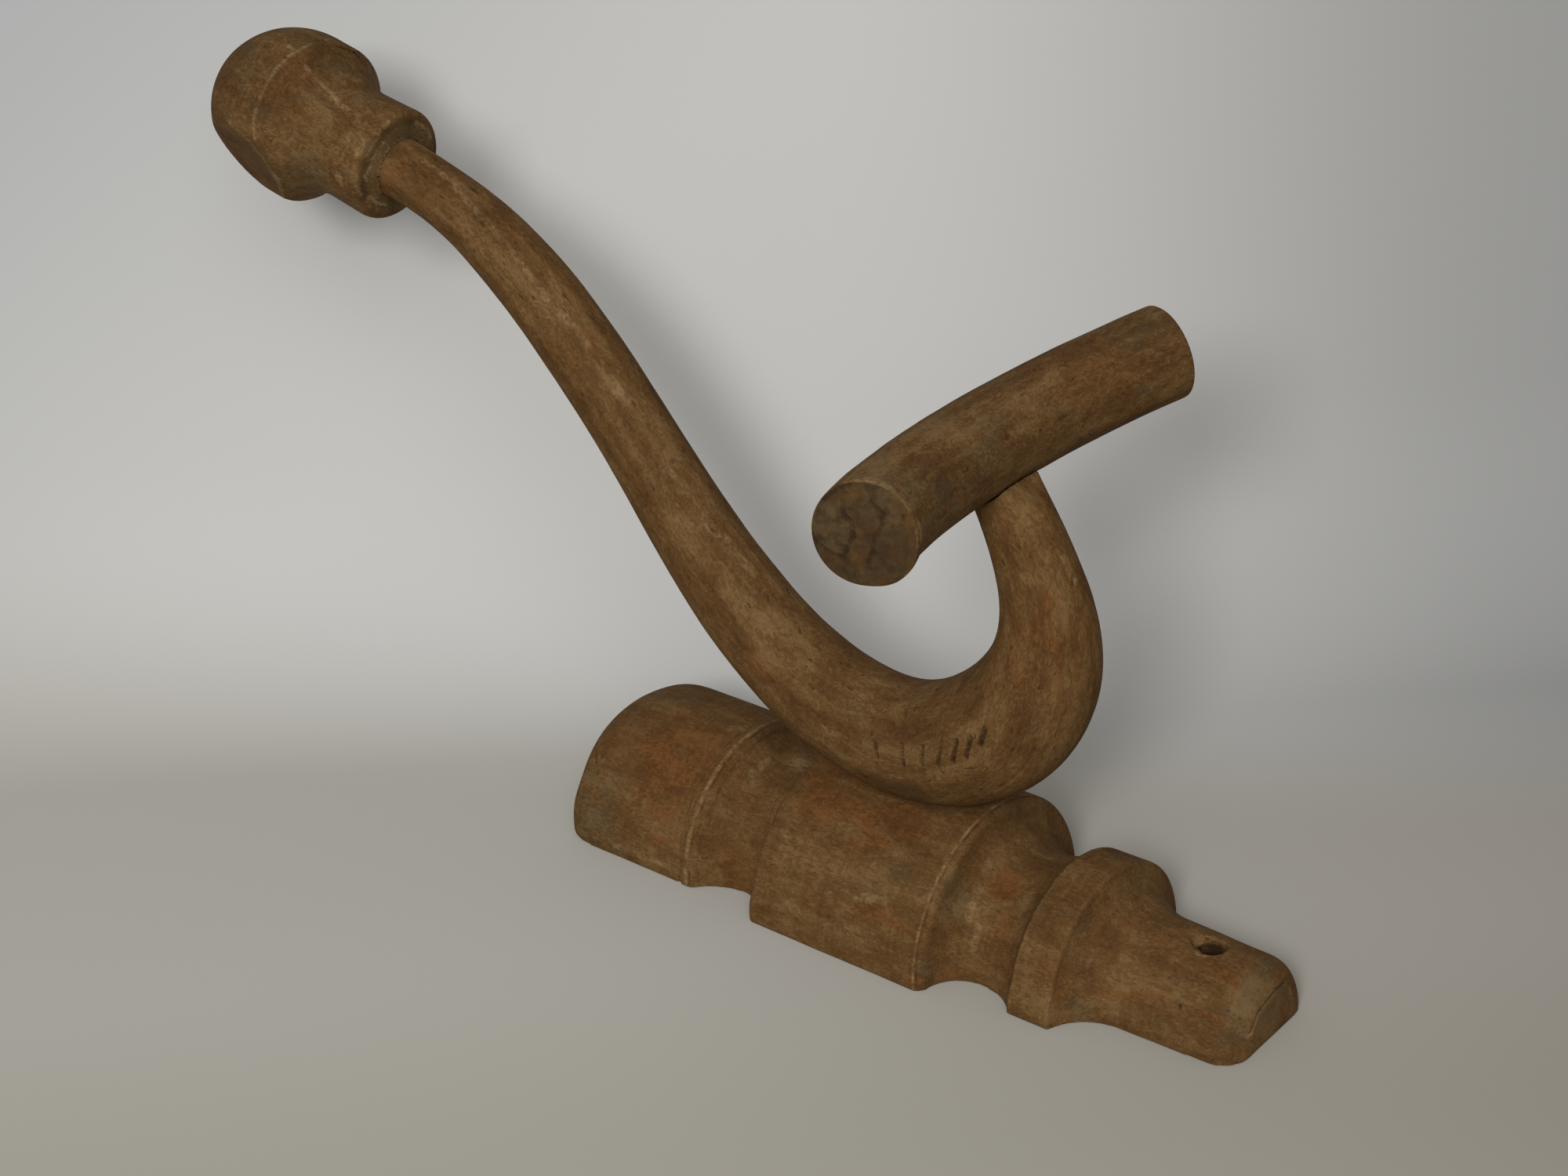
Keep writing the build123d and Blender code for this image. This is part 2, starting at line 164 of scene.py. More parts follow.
# Dark rings darken the creases and steps of the turning, as dirt and painted shade.
BASE_DARK_RINGS = ((-46.9, 0.3, 0.4), (-43.3, 0.35, 0.5), (-41.7, 0.5, 0.35), (-23.3, 0.4, 0.5),
                   (23.9, 0.35, 0.6), (44.3, 0.45, 0.75), (55.2, 0.25, 0.35))
BASE_NUDGES = (
    ((-80, 0, 24), 15, (0, 0, -0.6)), ((-84, -24, 3), 12, (-0.6, -0.3, 0)),
    ((-22.8, -28, 2), 8, (-0.9, 0, 0)), ((44.6, -24, 2), 6, (-0.6, 0, 0)),
    ((84, 4, 15), 14, (0, 0, -0.3)), ((74.8, 1.2, 16.3), 1.5, (-0.9, -0.3, 0)),
    ((76.2, -2, 16.3), 1.6, (0.3, 0.4, 0)),
)
KNOB_CRACKS = (
    ((-169.7, 3.1, 174.6), (-165.1, 4.8, 172.9), (-165.2, 10.5, 169.5), (-163.5, 14.5, 163)),
)
KNOB_LINES = (
    ("rubbed", 0.85, 1,
     ((-168.6, 6.1, 173.6), (-167.8, -2.3, 174.2), (-168.4, -6.2, 173.5), (-168.9, -11.8, 170.6),
      (-169.4, -16.8, 165.2), (-170.3, -19.2, 159.7), (-169.9, -19.7, 156.5)),
     ((-170.8, -4.7, 174.6), (-164.2, -6.1, 170.7), (-158, -4.9, 165.3), (-153.5, -6.1, 162.9))),
    # The flat's rim: rubbed pale, and a painted highlight where the rim catches light.
    ("rubbed", 1.1, 2,
     ((-178.5, -19.6, 158.6), (-171.9, -19.4, 154.7), (-170.2, -18.1, 151.4),
      (-169.7, -15.7, 146.1), (-171, -13.8, 142.8), (-173.2, -12, 139))),
    ("rubbed", 1, 0.7,
     ((-141.1, -3.3, 160.3), (-141.1, -5.4, 159), (-141.2, -7, 157.6), (-141.7, -8.7, 155.4),
      (-142.2, -10.1, 153.1)),
     ((-141, 5, 157.9), (-141.8, 8.9, 155), (-142.3, 10, 152.7)),
     ((-148.3, -13.7, 149.5), (-148.5, -13.4, 146.2), (-149, -12.5, 143.5))),
    ("rubbed", 1.3, 0.6, ((-156.7, -4.1, 164.9), (-152.3, -6, 162.7), (-143.5, -7.1, 160.2)),
     ((-147.7, -6.8, 161.3), (-146.9, -12.1, 155.5), (-149.5, -13.6, 148)),
     ((-142.9, -10.1, 157.4), (-144, -12.9, 152.5), (-144.2, -12.6, 146.7), (-145.7, -6.5, 138.8))),
    # A dark band beside the head's crack: partly the crack, partly painted shade where the rim
    # turns away.
    ("tone", 2.2, -0.6, ((-168.5, 3.1, 174.3), (-163.1, 4.8, 171.9), (-162.2, 9.5, 168.5))),
)
KNOB_SPOTS = (
    ("warmth", (-166, -11, 169), 9, 0.6), ("tone", (-167, -15, 166.5), 8, -1),
    # (-181, -13, 149) darkens the knob's flat as painted shade.
    ("tone", (-181, -13, 149), 13, -1.2), ("warmth", (-183.6, -12, 145.5), 12, 0.5),
    # (-164, -2, 172) darkens the cove under the head's rim as painted shade.
    ("tone", (-164, -2, 172), 7, -0.9), ("warmth", (-149.3, -13.5, 147.5), 4, 0.6),
    ("tone", (-149.3, -13.5, 147.5), 4.5, -0.6), ("warmth", (-183, -10, 170), 9, 0.3),
    # (-163.5, 3, 171) darkens the cove under the head's rim as painted shade.
    ("tone", (-163.5, 3, 171), 9, -0.6), ("tone", (-152, -10, 160), 10, 0.4),
    ("tone", (-184, -8, 150), 14, -0.4), ("tone", (-188, -6, 166), 20, -0.5),
    ("tone", (-173, -14, 168), 13, -0.5), ("coolness", (-160, -11, 147), 9, 0.6),
    ("coolness", (-188, 4, 172), 12, 0.6),
)
KNOB_FIBRES = (
    ((-143.2, -10.4, 149), (-143.9, -9.4, 146.4), (-144.6, -8.6, 143.6), (-145.2, -6.4, 140.6)),
    ((-143.1, -9.8, 149.6), (-142.8, -9.2, 151.2), (-142.2, -8, 153.2), (-141.5, -4.8, 156.2)),
    ((-142.8, -8.2, 149.8), (-143.6, -8.4, 146.8), (-144.2, -7.6, 144.4)),
    ((-142.4, -9, 151), (-143.4, -8, 147.6)), ((-144.9, -7.2, 141.4), (-145.3, -3.6, 139.6)),
)
BAR_END_CRACKS = (
    ((31.6, -52.3, 129.6), (31.2, -52.8, 127.6), (31.7, -52.9, 125.5), (33.1, -52.5, 124.4),
     (33.6, -52.7, 121.7), (32.5, -53.4, 119.4)),
    ((36.1, -50.6, 128.5), (38.6, -49.9, 126.4), (38.4, -50.3, 124.1), (37.4, -51.2, 121.4),
     (37.2, -51.6, 118.9), (36.3, -52.3, 117)),
    ((42.2, -48.4, 126.3), (41.9, -48.9, 124.4)),
    ((26.9, -54.6, 126.9), (28.4, -53.6, 129.2), (30.1, -52.7, 130.7), (32.2, -51.8, 131.3)),
    ((25.4, -55.7, 121.6), (25.9, -55.9, 120.5), (26.9, -55.8, 119.3), (28.7, -55.2, 118.3),
     (29.9, -54.8, 117.5), (31.8, -54.1, 117.2)),
    ((31.8, -54.1, 117.2), (32.3, -53.7, 118.6), (32.8, -53.3, 119.7)),
)
BAR_LINES = (
    ("rubbed", 1.7, 0.6, ((30.5, -51, 131.9), (34.9, -49.2, 132.3), (38.9, -47.6, 131.3))),
    ("rubbed", 1.5, 1.2,
     ((40.6, -47.3, 130.4), (42, -46.8, 129.2), (43.1, -46.4, 127.6), (43.9, -46.1, 126),
      (44.5, -45.9, 123.8), (44.7, -45.6, 120.8))),
    ("tone", 1.6, -0.9, ((28.3, -53.1, 129.9), (30.3, -52.5, 131), (32.6, -51.6, 131.3))),
)
BAR_SPOTS = (
    ("coolness", (28.5, -54.6, 123), 7, 0.8), ("tone", (27.5, -54.8, 121), 6, -0.8),
    ("coolness", (38.9, -47, 128.7), 9, 0.4), ("coolness", (41, -36, 118), 14, 0.5),
    ("coolness", (33.5, -10.5, 125.1), 12, 0.3), ("tone", (33, -53.3, 119.6), 4, -1),
    ("tone", (38, -51, 114), 8, -0.7), ("tone", (28, -45, 130.6), 14, 0.8),
    ("tone", (24, -22, 129), 14, 0.5), ("tone", (22, 0, 128), 16, -0.5),
    ("tone", (28, 30, 128), 26, -0.9), ("tone", (41, 44, 127), 14, -0.9),
    ("tone", (34, -42, 127), 14, 0.5), ("warmth", (34, 28, 127), 18, 0.4),
)
BAR_NUDGES = (
    ((42.6, -50.1, 115), 9, (0.55, 0, -0.5)), ((35.1, -52, 122), 11, (0.3, -0.75, 0.1)),
)
# Spots that stay sharp are: middle, reach, strength.
KNOB_MOUTH = ((-143.4, 0.0, 148.1), 9.5, 1.0)
BAR_JOINT = ((30.0, 0.0, 108.4), 13.0, 1.0)
WALL_SCREW_BORE = ((77.6, 1.2, 15.5), 14.0, 1.0)
BAR_JOINT_MOVE = (-0.07, 0.0, 0.13)
# The screw's hole: its middle, then where the painted shade inside it fades sideways and outwards.
BORE_PLACE = (78.6, 1.2)
BORE_EDGE = (3.3, 3.8)
BORE_MOUTH = (13.8, 15.3)
# The knob's socket, and the old glue and fibres on its face.
SOCKET_RADIUS = 7.6
SOCKET_RIM = 0.6
SOCKET_LIP = 1.5
SOCKET_PINCH = 0.18
GLUE_REACH = 3.0
GLUE_DEPTH = 2.5
GLUE_RISE = 1.6
FACE_DEPTH = (0.3, 1.2)
FACE_EDGE = (10.2, 11.8)
KNOB_FLAT = ((-178.0, -14.0, 149.0), 20.0)
# How far an edge stands out where rubbing begins and where it is full.
EDGE_SPAN = (0.15, 0.6)
ARM_EDGE_SPAN = (0.2, 0.6)
# How squarely a face lies across the grain where end grain begins and where it is full.
BASE_END_SPAN = (0.8, 0.97)
KNOB_END_SPAN = (0.75, 0.97)
BAR_END_SPAN = (0.75, 0.95)
# Half widths and depths of the small carved marks.
PIT_WIDTH, PIT_DEPTH = 0.4, 0.8
SPLINTER_WIDTH, SPLINTER_DEPTH = 1.0, 2.0
FLECK_WIDTH, FLECK_DEPTH = 0.5, 0.2


# --- mesh helpers
# Two of the masks darken hollows and cuts, and carry painted shade as well.
MASKS = ("tone", "warmth", "coolness", "rubbed", "hollow", "cut", "end")
# The share of a stroke's half width and of a spot's reach that has full strength.
STROKE_CORE = 0.3
SPOT_CORE = 0.2
# Vertices nearer than this are merged, and faces that stand out by this share are divided.
WELD_REACH = 0.002
SHARP_SHARE = 0.12
# Rounds of relaxing that find sharp faces, round the edges, and find what stands out.
FINE_ROUNDS, WEAR_ROUNDS, WIDE_ROUNDS = 2, 3, 10


def only(piece):
    """Select one object and nothing else."""
    bpy.ops.object.select_all(action="DESELECT")
    piece.select_set(True)
    bpy.context.view_layer.objects.active = piece


def switch_to(mode):
    """Enter a mode."""
    bpy.ops.object.mode_set(mode=mode)


def read(items, key, width, kind=float):
    """One value of every item, in rows."""
    flat = np.empty(len(items) * width, kind)
    items.foreach_get(key, flat)
    return flat.reshape(-1, width)


def places(piece):
    """Vertex places in millimetres."""
    return read(piece.data.vertices, "co", 3) / MM


def put_places(piece, points):
    """Write vertex places back."""
    piece.data.vertices.foreach_set("co", (points * MM).ravel())
    piece.data.update()


def normals(piece):
    """Vertex normals."""
    return read(piece.data.vertex_normals, "vector", 3, np.float32).astype(float)


def edges(piece):
    """Vertex pairs of the edges."""
    return read(piece.data.edges, "vertices", 2, np.int32)


def relaxed(points, pairs, rounds):
    """Places after each point has moved to the middle of its neighbours, a number of times."""
    count = np.bincount(pairs.ravel(), minlength=len(points))[:, None]
    for _ in range(rounds):
        total = np.empty_like(points)
        for axis in range(3):
            total[:, axis] = np.bincount(pairs[:, 0], points[pairs[:, 1], axis], len(points))
            total[:, axis] += np.bincount(pairs[:, 1], points[pairs[:, 0], axis], len(points))
        points = total / count
    return points


def put_grain(piece, along_grain):
    """Store the place of each vertex in the straightened rod of wood, in metres."""
    layer = piece.data.attributes.new("grain", "FLOAT_VECTOR", "POINT")
    layer.data.foreach_set("vector", (along_grain * MM).astype(np.float32).ravel())


def smooth_step(values, low, high):
    """0 below low, 1 above high and a soft rise between."""
    t = np.clip((values - low) / (high - low), 0, 1)
    return t * t * (3 - 2 * t)


def distance_to(points, stroke):
    """Distance of each point from a stroke's line."""
    nearest = np.full(len(points), np.inf)
    for start, end in zip(stroke[:-1], stroke[1:]):
        start = np.array(start)
        run = np.array(end) - start
        share = np.clip((points - start) @ run / (run @ run), 0, 1)
        nearest = np.minimum(nearest, np.linalg.norm(points - start - share[:, None] * run, axis=1))
    return nearest


def stroke_shape(points, stroke, width):
    """1 along the stroke's core and 0 a half width away from it."""
    return 1 - smooth_step(distance_to(points, stroke), STROKE_CORE * width, width)


def spot_shape(points, middle, reach):
    """1 near the middle and 0 beyond its reach."""
    away = np.linalg.norm(points - np.array(middle), axis=1)
    return 1 - smooth_step(away, SPOT_CORE * reach, reach)


def strokes_mask(points, strokes, width):
    """The strokes of one width together."""
    return np.max([stroke_shape(points, stroke, width) for stroke in strokes], axis=0)


def strongest(points, cuts):
    """The strongest of several groups of strokes, each given as strokes, half width, strength."""
    return np.max([strength * strokes_mask(points, strokes, width)
                   for strokes, width, strength in cuts], axis=0)


def paint(piece, lines, spots, **more):
    """Store the masks that the material reads, gathered from lines, spots and ready masks."""
    points = places(piece)
    masks = {name: np.zeros(len(points)) for name in MASKS}
    for name, width, strength, *strokes in lines:
        masks[name] += strength * strokes_mask(points, strokes, width)
    for name, middle, reach, strength in spots:
        masks[name] += strength * spot_shape(points, middle, reach)
    for name, values in more.items():
        masks[name] += values
    for name, values in masks.items():
        layer = piece.data.attributes.new(name, "FLOAT", "POINT")
        layer.data.foreach_set("value", np.clip(values, -1, 1).astype(np.float32))


def modify(piece, kind, **settings):
    """Apply one modifier to a piece."""
    only(piece)
    modifier = piece.modifiers.new(kind, kind)
    for name, value in settings.items():
        setattr(modifier, name, value)
    bpy.ops.object.modifier_apply(modifier=modifier.name)


def fine_copy(node, name, step):
    """Copy a CAD piece's surface as one even mesh, with faces about step millimetres wide."""
    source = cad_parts[node]
    piece = bpy.data.objects.new(name, source.data.copy())
    bpy.context.scene.collection.objects.link(piece)
    piece.data.materials.clear()
    only(piece)
    switch_to("EDIT")
    bpy.ops.mesh.select_all(action="SELECT")
    bpy.ops.mesh.remove_doubles(threshold=WELD_REACH * MM)
    switch_to("OBJECT")
    modify(piece, "REMESH", mode="VOXEL", voxel_size=step * MM, use_smooth_shade=True)
    seat_on(piece, source)
    points = places(piece)
    near = relaxed(points, edges(piece), FINE_ROUNDS)
    sharp = np.abs(((points - near) * normals(piece)).sum(axis=1)) > SHARP_SHARE * step
    divide(piece, sharp, 1)
    seat_on(piece, source)
    return piece


def seat_on(piece, source):
    """Bring every vertex back to the CAD piece's surface."""
    modify(piece, "SHRINKWRAP", target=source, wrap_method="NEAREST_SURFACEPOINT")


def divide(piece, chosen, cuts):
    """Divide the faces between the chosen vertices."""
    only(piece)
    switch_to("EDIT")
    bpy.ops.mesh.select_mode(type="VERT")
    bpy.ops.mesh.select_all(action="DESELECT")
    switch_to("OBJECT")
    piece.data.vertices.foreach_set("select", chosen)
    switch_to("EDIT")
    bpy.ops.mesh.subdivide(number_cuts=cuts)
    switch_to("OBJECT")


def divide_near(piece, strokes, reach, cuts):
    """Divide the faces near the strokes, so that a narrow cut has a clean shape."""
    points = places(piece)
    near = np.min([distance_to(points, stroke) for stroke in strokes], axis=0) < reach
    divide(piece, near, cuts)


def wear_down(piece, rounding, kept):
    """Round the sharp edges a little, apart from the kept spots."""
    points = places(piece)
    near = relaxed(points, edges(piece), WEAR_ROUNDS)
    share = np.full(len(points), rounding)
    for middle, reach, strength in kept:
        share *= 1 - strength * spot_shape(points, middle, reach)
    put_places(piece, points + (near - points) * share[:, None])


def sharpness(piece):
    """How far each place stands out from the surface around it, in millimetres."""
    points = places(piece)
    far = relaxed(points, edges(piece), WIDE_ROUNDS)
    return ((points - far) * normals(piece)).sum(axis=1)


def make_uneven(piece, amount, size):
    """Sink the surface here and there, as hand sanding and wear leave it."""
    cloud = bpy.data.textures.new(piece.name + "_uneven", "CLOUDS")
    cloud.noise_scale = size * MM
    cloud.noise_depth = 1
    modify(piece, "DISPLACE", texture=cloud, texture_coords="LOCAL", mid_level=1.0,
           strength=amount * MM)


def nudge(piece, nudges):
    """Move the surface softly round a few places."""
    points = places(piece)
    for middle, reach, move in nudges:
        points = points + spot_shape(points, middle, reach)[:, None] * np.array(move)
    put_places(piece, points)


def carve(piece, strokes, width, depth):
    """Cut narrow grooves along the strokes."""
    points = places(piece)
    mask = strokes_mask(points, strokes, width)
    put_places(piece, points - normals(piece) * (mask * depth)[:, None])


def finish_piece(piece, node, slot, **look):
    """Keep inside the CAD piece's box, shade smooth, give its wood and place in the hook."""
    corners = np.array([corner[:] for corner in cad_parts[node].bound_box]) / MM
    put_places(piece, np.clip(places(piece), corners.min(axis=0), corners.max(axis=0)))
    only(piece)
    bpy.ops.object.shade_smooth()
    colours = bpy.context.scene.hook_colours
    piece.data.materials.append(wood_material(slot, colours, **look))
    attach(piece, "root")
    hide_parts(node)


# --- node helpers
WOOD_COLOURS = ("Dark", "Body", "Light", "Warm", "Cool", "Rubbed", "Soil")
WOOD_AMOUNTS = ("Mottling", "Streaks", "Turning", "Flecks", "Tone", "Warmth", "Coolness",
                "Rubbing", "Hollow", "Cut", "End")
# Noise in the wood is: scale along the grain, scale across it, detail, roughness, distortion.
WOOD_NOISE = {
    "patina": (95.0, 170.0, 8.0, 0.62, 0.5),
    "streak": (16.0, 230.0, 5.0, 0.6, 0.3),
    "fibre": (420.0, 860.0, 5.0, 0.7, 1.8),
    "lathe": (900.0, 55.0, 3.0, 0.6, 0.0),
    "frayed": (620.0, 620.0, 3.0, 0.6, 0.0),
    "ragged": (150.0, 240.0, 6.0, 0.65, 0.3),
    "drift": (38.0, 105.0, 5.0, 0.6, 0.6),
    "speck": (300.0, 800.0, 2.0, 0.5, 0.0),
    "sawn": (260.0, 190.0, 6.0, 0.65, 0.5),
}
NOISE_OFFSETS = {"ragged": (3.1, 1.7, 5.3), "drift": (7.7, 2.9, 4.1)}
# The values between which most of a noise lies.
NOISE_SPAN = (0.3, 0.7)
# Near black for cuts and cracks, and as painted shade inside the screw's bore.
CUT_AND_SHADE_COLOUR = (0.006, 0.003, 0.001, 1.0)
BUMP_DISTANCE = 0.12
BUMP_STRENGTH = 0.8
WOOD_SHINE = 0.04
RING_CORE = 0.2


def solid(colour):
    """A colour without transparency."""
    return (*colour, 1.0)


class Nodes:
    """Builds shader nodes: most methods place a node and give back its output."""

    def __init__(self, tree):
        self.tree = tree

    def place(self, kind, *values, **settings):
        """Place a node, with its settings and the values of its first sockets."""
        node = self.tree.nodes.new(kind)
        for name, value in settings.items():
            setattr(node, name, value)
        for socket, value in zip(node.inputs, values):
            self.feed(socket, value)
        return node

    def feed(self, socket, value):
        """Link a socket to an output or set its number."""
        if isinstance(value, bpy.types.NodeSocket):
            self.tree.links.new(value, socket)
        else:
            socket.default_value = value

    def fill(self, node, values):
        """Feed a node's sockets by their names."""
        for name, value in values.items():
            self.feed(node.inputs[name], value)
        return node

    def math(self, operation, first, second=0.0, clamp=False):
        node = self.place("ShaderNodeMath", first, second, operation=operation, use_clamp=clamp)
        return node.outputs[0]

    def plus(self, first, second, factor, clamp=False):
        """The first value and the second times a factor."""
        return self.math("ADD", first, self.math("MULTIPLY", second, factor), clamp)

    def vector(self, operation, first, second, output="Vector"):
        node = self.place("ShaderNodeVectorMath", first, second, operation=operation)
        return node.outputs[output]

    def noise(self, vector, detail, roughness=0.55, distortion=0.0):
        return self.fill(self.place("ShaderNodeTexNoise"), {
            "Vector": vector, "Scale": 1.0, "Detail": detail, "Roughness": roughness,
            "Distortion": distortion,
        }).outputs[0]

    def rise(self, value, low, high, to_low=0.0, to_high=1.0, kind="SMOOTHSTEP"):
        """The share of the way from low to high, as a value from to_low to to_high."""
        return self.place("ShaderNodeMapRange", value, low, high, to_low, to_high,
                          interpolation_type=kind).outputs[0]

    def mix(self, factor, first, second, blend="MIX"):
        node = self.place("ShaderNodeMix", factor, data_type="RGBA", blend_type=blend)
        self.feed(node.inputs[6], first)
        self.feed(node.inputs[7], second)
        return node.outputs[2]

    def attribute(self, name, output="Fac"):
        return self.place("ShaderNodeAttribute", attribute_name=name).outputs[output]


def new_group(name, inputs, outputs):
    """An empty shader node group with named sockets of each kind, its builder and its inputs."""
    tree = bpy.data.node_groups.new(name, "ShaderNodeTree")
    for direction, sockets in (("INPUT", inputs), ("OUTPUT", outputs)):
        for kind, labels in sockets.items():
            for label in labels:
                tree.interface.new_socket(name=label, in_out=direction,
                                          socket_type="NodeSocket" + kind)
    n = Nodes(tree)
    return tree, n, n.place("NodeGroupInput").outputs


def aged_wood_group():
    """Old, handled wood: patina, streaks along the grain, turning lines, flecks, dirt, rubbing, and
    painted shade in hollows, cracks and the screw's bore.
    """
    name = "aged_wood"
    if name in bpy.data.node_groups:
        return bpy.data.node_groups[name]
    tree, n, given = new_group(
        name, {"Vector": ("Grain",), "Color": WOOD_COLOURS, "Float": WOOD_AMOUNTS},
        {"Color": ("Color",), "Float": ("Roughness", "Height")})
    noise = {}
    for label, (along, across, *kind) in WOOD_NOISE.items():
        vector = n.vector("MULTIPLY", given["Grain"], (along, across, across))
        if label in NOISE_OFFSETS:
            vector = n.vector("ADD", vector, NOISE_OFFSETS[label])
        noise[label] = n.noise(vector, *kind)
    frayed = n.rise(noise["frayed"], *NOISE_SPAN, -0.6, 0.6)
    ragged = n.rise(noise["ragged"], *NOISE_SPAN, -0.45, 0.45)

    def broken(mask, low=0.1, high=1.0):
        """A mask with ragged rims."""
        return n.rise(n.plus(mask, ragged, n.rise(mask, 0.0, 0.3)), low, high)

    def torn(label, reach):
        """A given mask with finely frayed rims."""
        return n.plus(given[label], frayed, n.rise(given[label], 0.0, reach))

    # patina in soft patches, felt-like fibres, streaks along the rod and lines left by turning
    value = n.math("ADD", n.rise(noise["patina"], *NOISE_SPAN, -0.3, 0.3),
                   n.rise(noise["fibre"], 0.25, 0.75, -0.55, 0.55))
    value = n.math("ADD", n.math("MULTIPLY", value, given["Mottling"]), 0.5)
    value = n.plus(value, n.rise(noise["streak"], *NOISE_SPAN, -0.5, 0.5), given["Streaks"])
    turned = n.math("MULTIPLY", n.rise(noise["lathe"], *NOISE_SPAN, -0.5, 0.5), given["Turning"])
    value = n.plus(n.math("ADD", value, turned), given["Tone"], 0.55)
    colour = n.mix(n.rise(value, -0.5, 0.5, kind="LINEAR"), given["Dark"], given["Body"])
    colour = n.mix(n.rise(value, 0.5, 1.5, kind="LINEAR"), colour, given["Light"])
    shade = n.rise(value, 0.0, 1.0, 0.72, 1.25)

    def covered(colour, mask, share, over, shaded=True):
        """A colour with another over it where the mask is, in the same shading."""
        if shaded:
            over = n.mix(1.0, over, shade, "MULTIPLY")
        return n.mix(n.math("MULTIPLY", mask, share), colour, over)

    # the whole surface drifts between a reddish and an olive brown
    drift = noise["drift"]
    reddish = n.math("ADD", given["Warmth"], n.rise(drift, 0.48, 0.75, 0.0, 0.42))
    other = n.math("SUBTRACT", 1.0, drift)
    olive = n.math("ADD", given["Coolness"], n.rise(other, 0.48, 0.75, 0.0, 0.5))
    colour = covered(colour, broken(reddish), 0.8, given["Warm"])
    colour = covered(colour, broken(olive), 0.75, given["Cool"])
    # dark flecks of the wood, lying along the grain
    speck = n.math("MULTIPLY", n.rise(noise["speck"], 0.66, 0.74), given["Flecks"], True)
    colour = n.mix(speck, colour, given["Soil"])
    # end grain is darker and blotched
    sawn = n.mix(n.rise(noise["sawn"], 0.30, 0.78), given["Soil"], given["Body"])
    sawn = covered(sawn, broken(given["Coolness"]), 0.8, given["Cool"], shaded=False)
    colour = n.mix(n.math("MULTIPLY", given["End"], 0.85, True), colour, sawn)
    # edges and lines rubbed pale, hollows dark with dirt and painted shade, cuts and the painted
    # shade inside the screw's bore almost black
    colour = covered(colour, broken(torn("Rubbing", 0.9), 0.05, 1.4), 0.8, given["Rubbed"])
    colour = covered(colour, broken(torn("Hollow", 1.4), 0.0, 1.4), 0.9, given["Soil"],
                     shaded=False)
    colour = n.mix(n.rise(torn("Cut", 1.2), 0.0, 1.2, 0.0, 0.9), colour,
                   n.mix(0.3, given["Soil"], CUT_AND_SHADE_COLOUR))
    rough = n.plus(n.rise(value, 0.0, 1.0, 0.72, 0.84), given["End"], 0.2, True)
    height = 0.0
    for mask, amount in (
        (n.rise(noise["fibre"], *NOISE_SPAN), 0.35),
        (n.rise(noise["patina"], *NOISE_SPAN), 0.5),
        (turned, 0.6),
        (speck, -0.8),
        (given["Hollow"], -0.6),
        (given["End"], n.rise(noise["sawn"], 0.35, 0.65)),
    ):
        height = n.plus(height, mask, amount)
    n.place("NodeGroupOutput", colour, rough, height)
    return tree


def ring_group():
    """A narrow band round a turning, at one place along its axis."""
    name = "turned_ring"
    if name in bpy.data.node_groups:
        return bpy.data.node_groups[name]
    tree, n, given = new_group(
        name, {"Vector": ("Grain",), "Float": ("Place", "Half width", "Strength")},
        {"Float": ("Mask",)})
    along = n.place("ShaderNodeSeparateXYZ", given["Grain"]).outputs["X"]
    away = n.math("ABSOLUTE", n.math("SUBTRACT", along, given["Place"]))
    band = n.math("DIVIDE", away, given["Half width"])
    n.place("NodeGroupOutput", n.rise(band, RING_CORE, 1.0, given["Strength"], 0.0))
    return tree


def with_rings(n, mask, grain, rings):
    """A mask with rings added to it."""
    for place, half_width, strength in rings:
        ring = n.place("ShaderNodeGroup", node_tree=ring_group())
        n.fill(ring, {"Grain": grain, "Place": place * MM, "Half width": half_width * MM,
                      "Strength": strength})
        mask = n.math("MAXIMUM", mask, ring.outputs["Mask"])
    return mask


def new_material(name):
    """A new material, with a builder for its nodes and its shader."""
    material = bpy.data.materials.new(name)
    material.use_nodes = True
    return material, Nodes(material.node_tree), material.node_tree.nodes["Principled BSDF"]


def wood_material(name, colours, mottling, streaks, turning, flecks, pale_rings=(), dark_rings=()):
    """A wooden finish that reads the piece's grain and marks."""
    material, n, shader = new_material(name)
    grain = n.attribute("grain", "Vector")
    given = {"Grain": grain, "Mottling": mottling, "Streaks": streaks, "Turning": turning,
             "Flecks": flecks,
             "Rubbing": with_rings(n, n.attribute("rubbed"), grain, pale_rings),
             "Hollow": with_rings(n, n.attribute("hollow"), grain, dark_rings)}
    for label in WOOD_COLOURS:
        given[label] = solid(getattr(colours, label.lower()))
    for label in ("Tone", "Warmth", "Coolness", "Cut", "End"):
        given[label] = n.attribute(label.lower())
    wood = n.fill(n.place("ShaderNodeGroup", node_tree=aged_wood_group()), given).outputs
    bump = n.fill(n.place("ShaderNodeBump"), {
        "Height": wood["Height"], "Distance": BUMP_DISTANCE * MM, "Strength": BUMP_STRENGTH})
    n.fill(shader, {"Base Color": wood["Color"], "Roughness": wood["Roughness"],
                    "Normal": bump.outputs["Normal"], "Specular IOR Level": WOOD_SHINE})
    return material


def hidden_material(name, colour, darkening, stretch, detail, span):
    """A plain finish between a colour and a darker one, with its builder, shader and noise."""
    material, n, shader = new_material(name)
    place = n.place("ShaderNodeTexCoord").outputs["Object"]
    noise = n.noise(n.vector("MULTIPLY", place, stretch), detail)
    darker = solid(darkening * part for part in colour)
    n.feed(shader.inputs["Base Color"], n.mix(n.rise(noise, *span), darker, solid(colour)))
    return material, n, shader, noise


# --- settings
def colour_setting(name, description, default):
    """A colour that the user can change."""
    return bpy.props.FloatVectorProperty(
        name=name, description=description, default=default, subtype="COLOR", size=3, min=0, max=1
    )


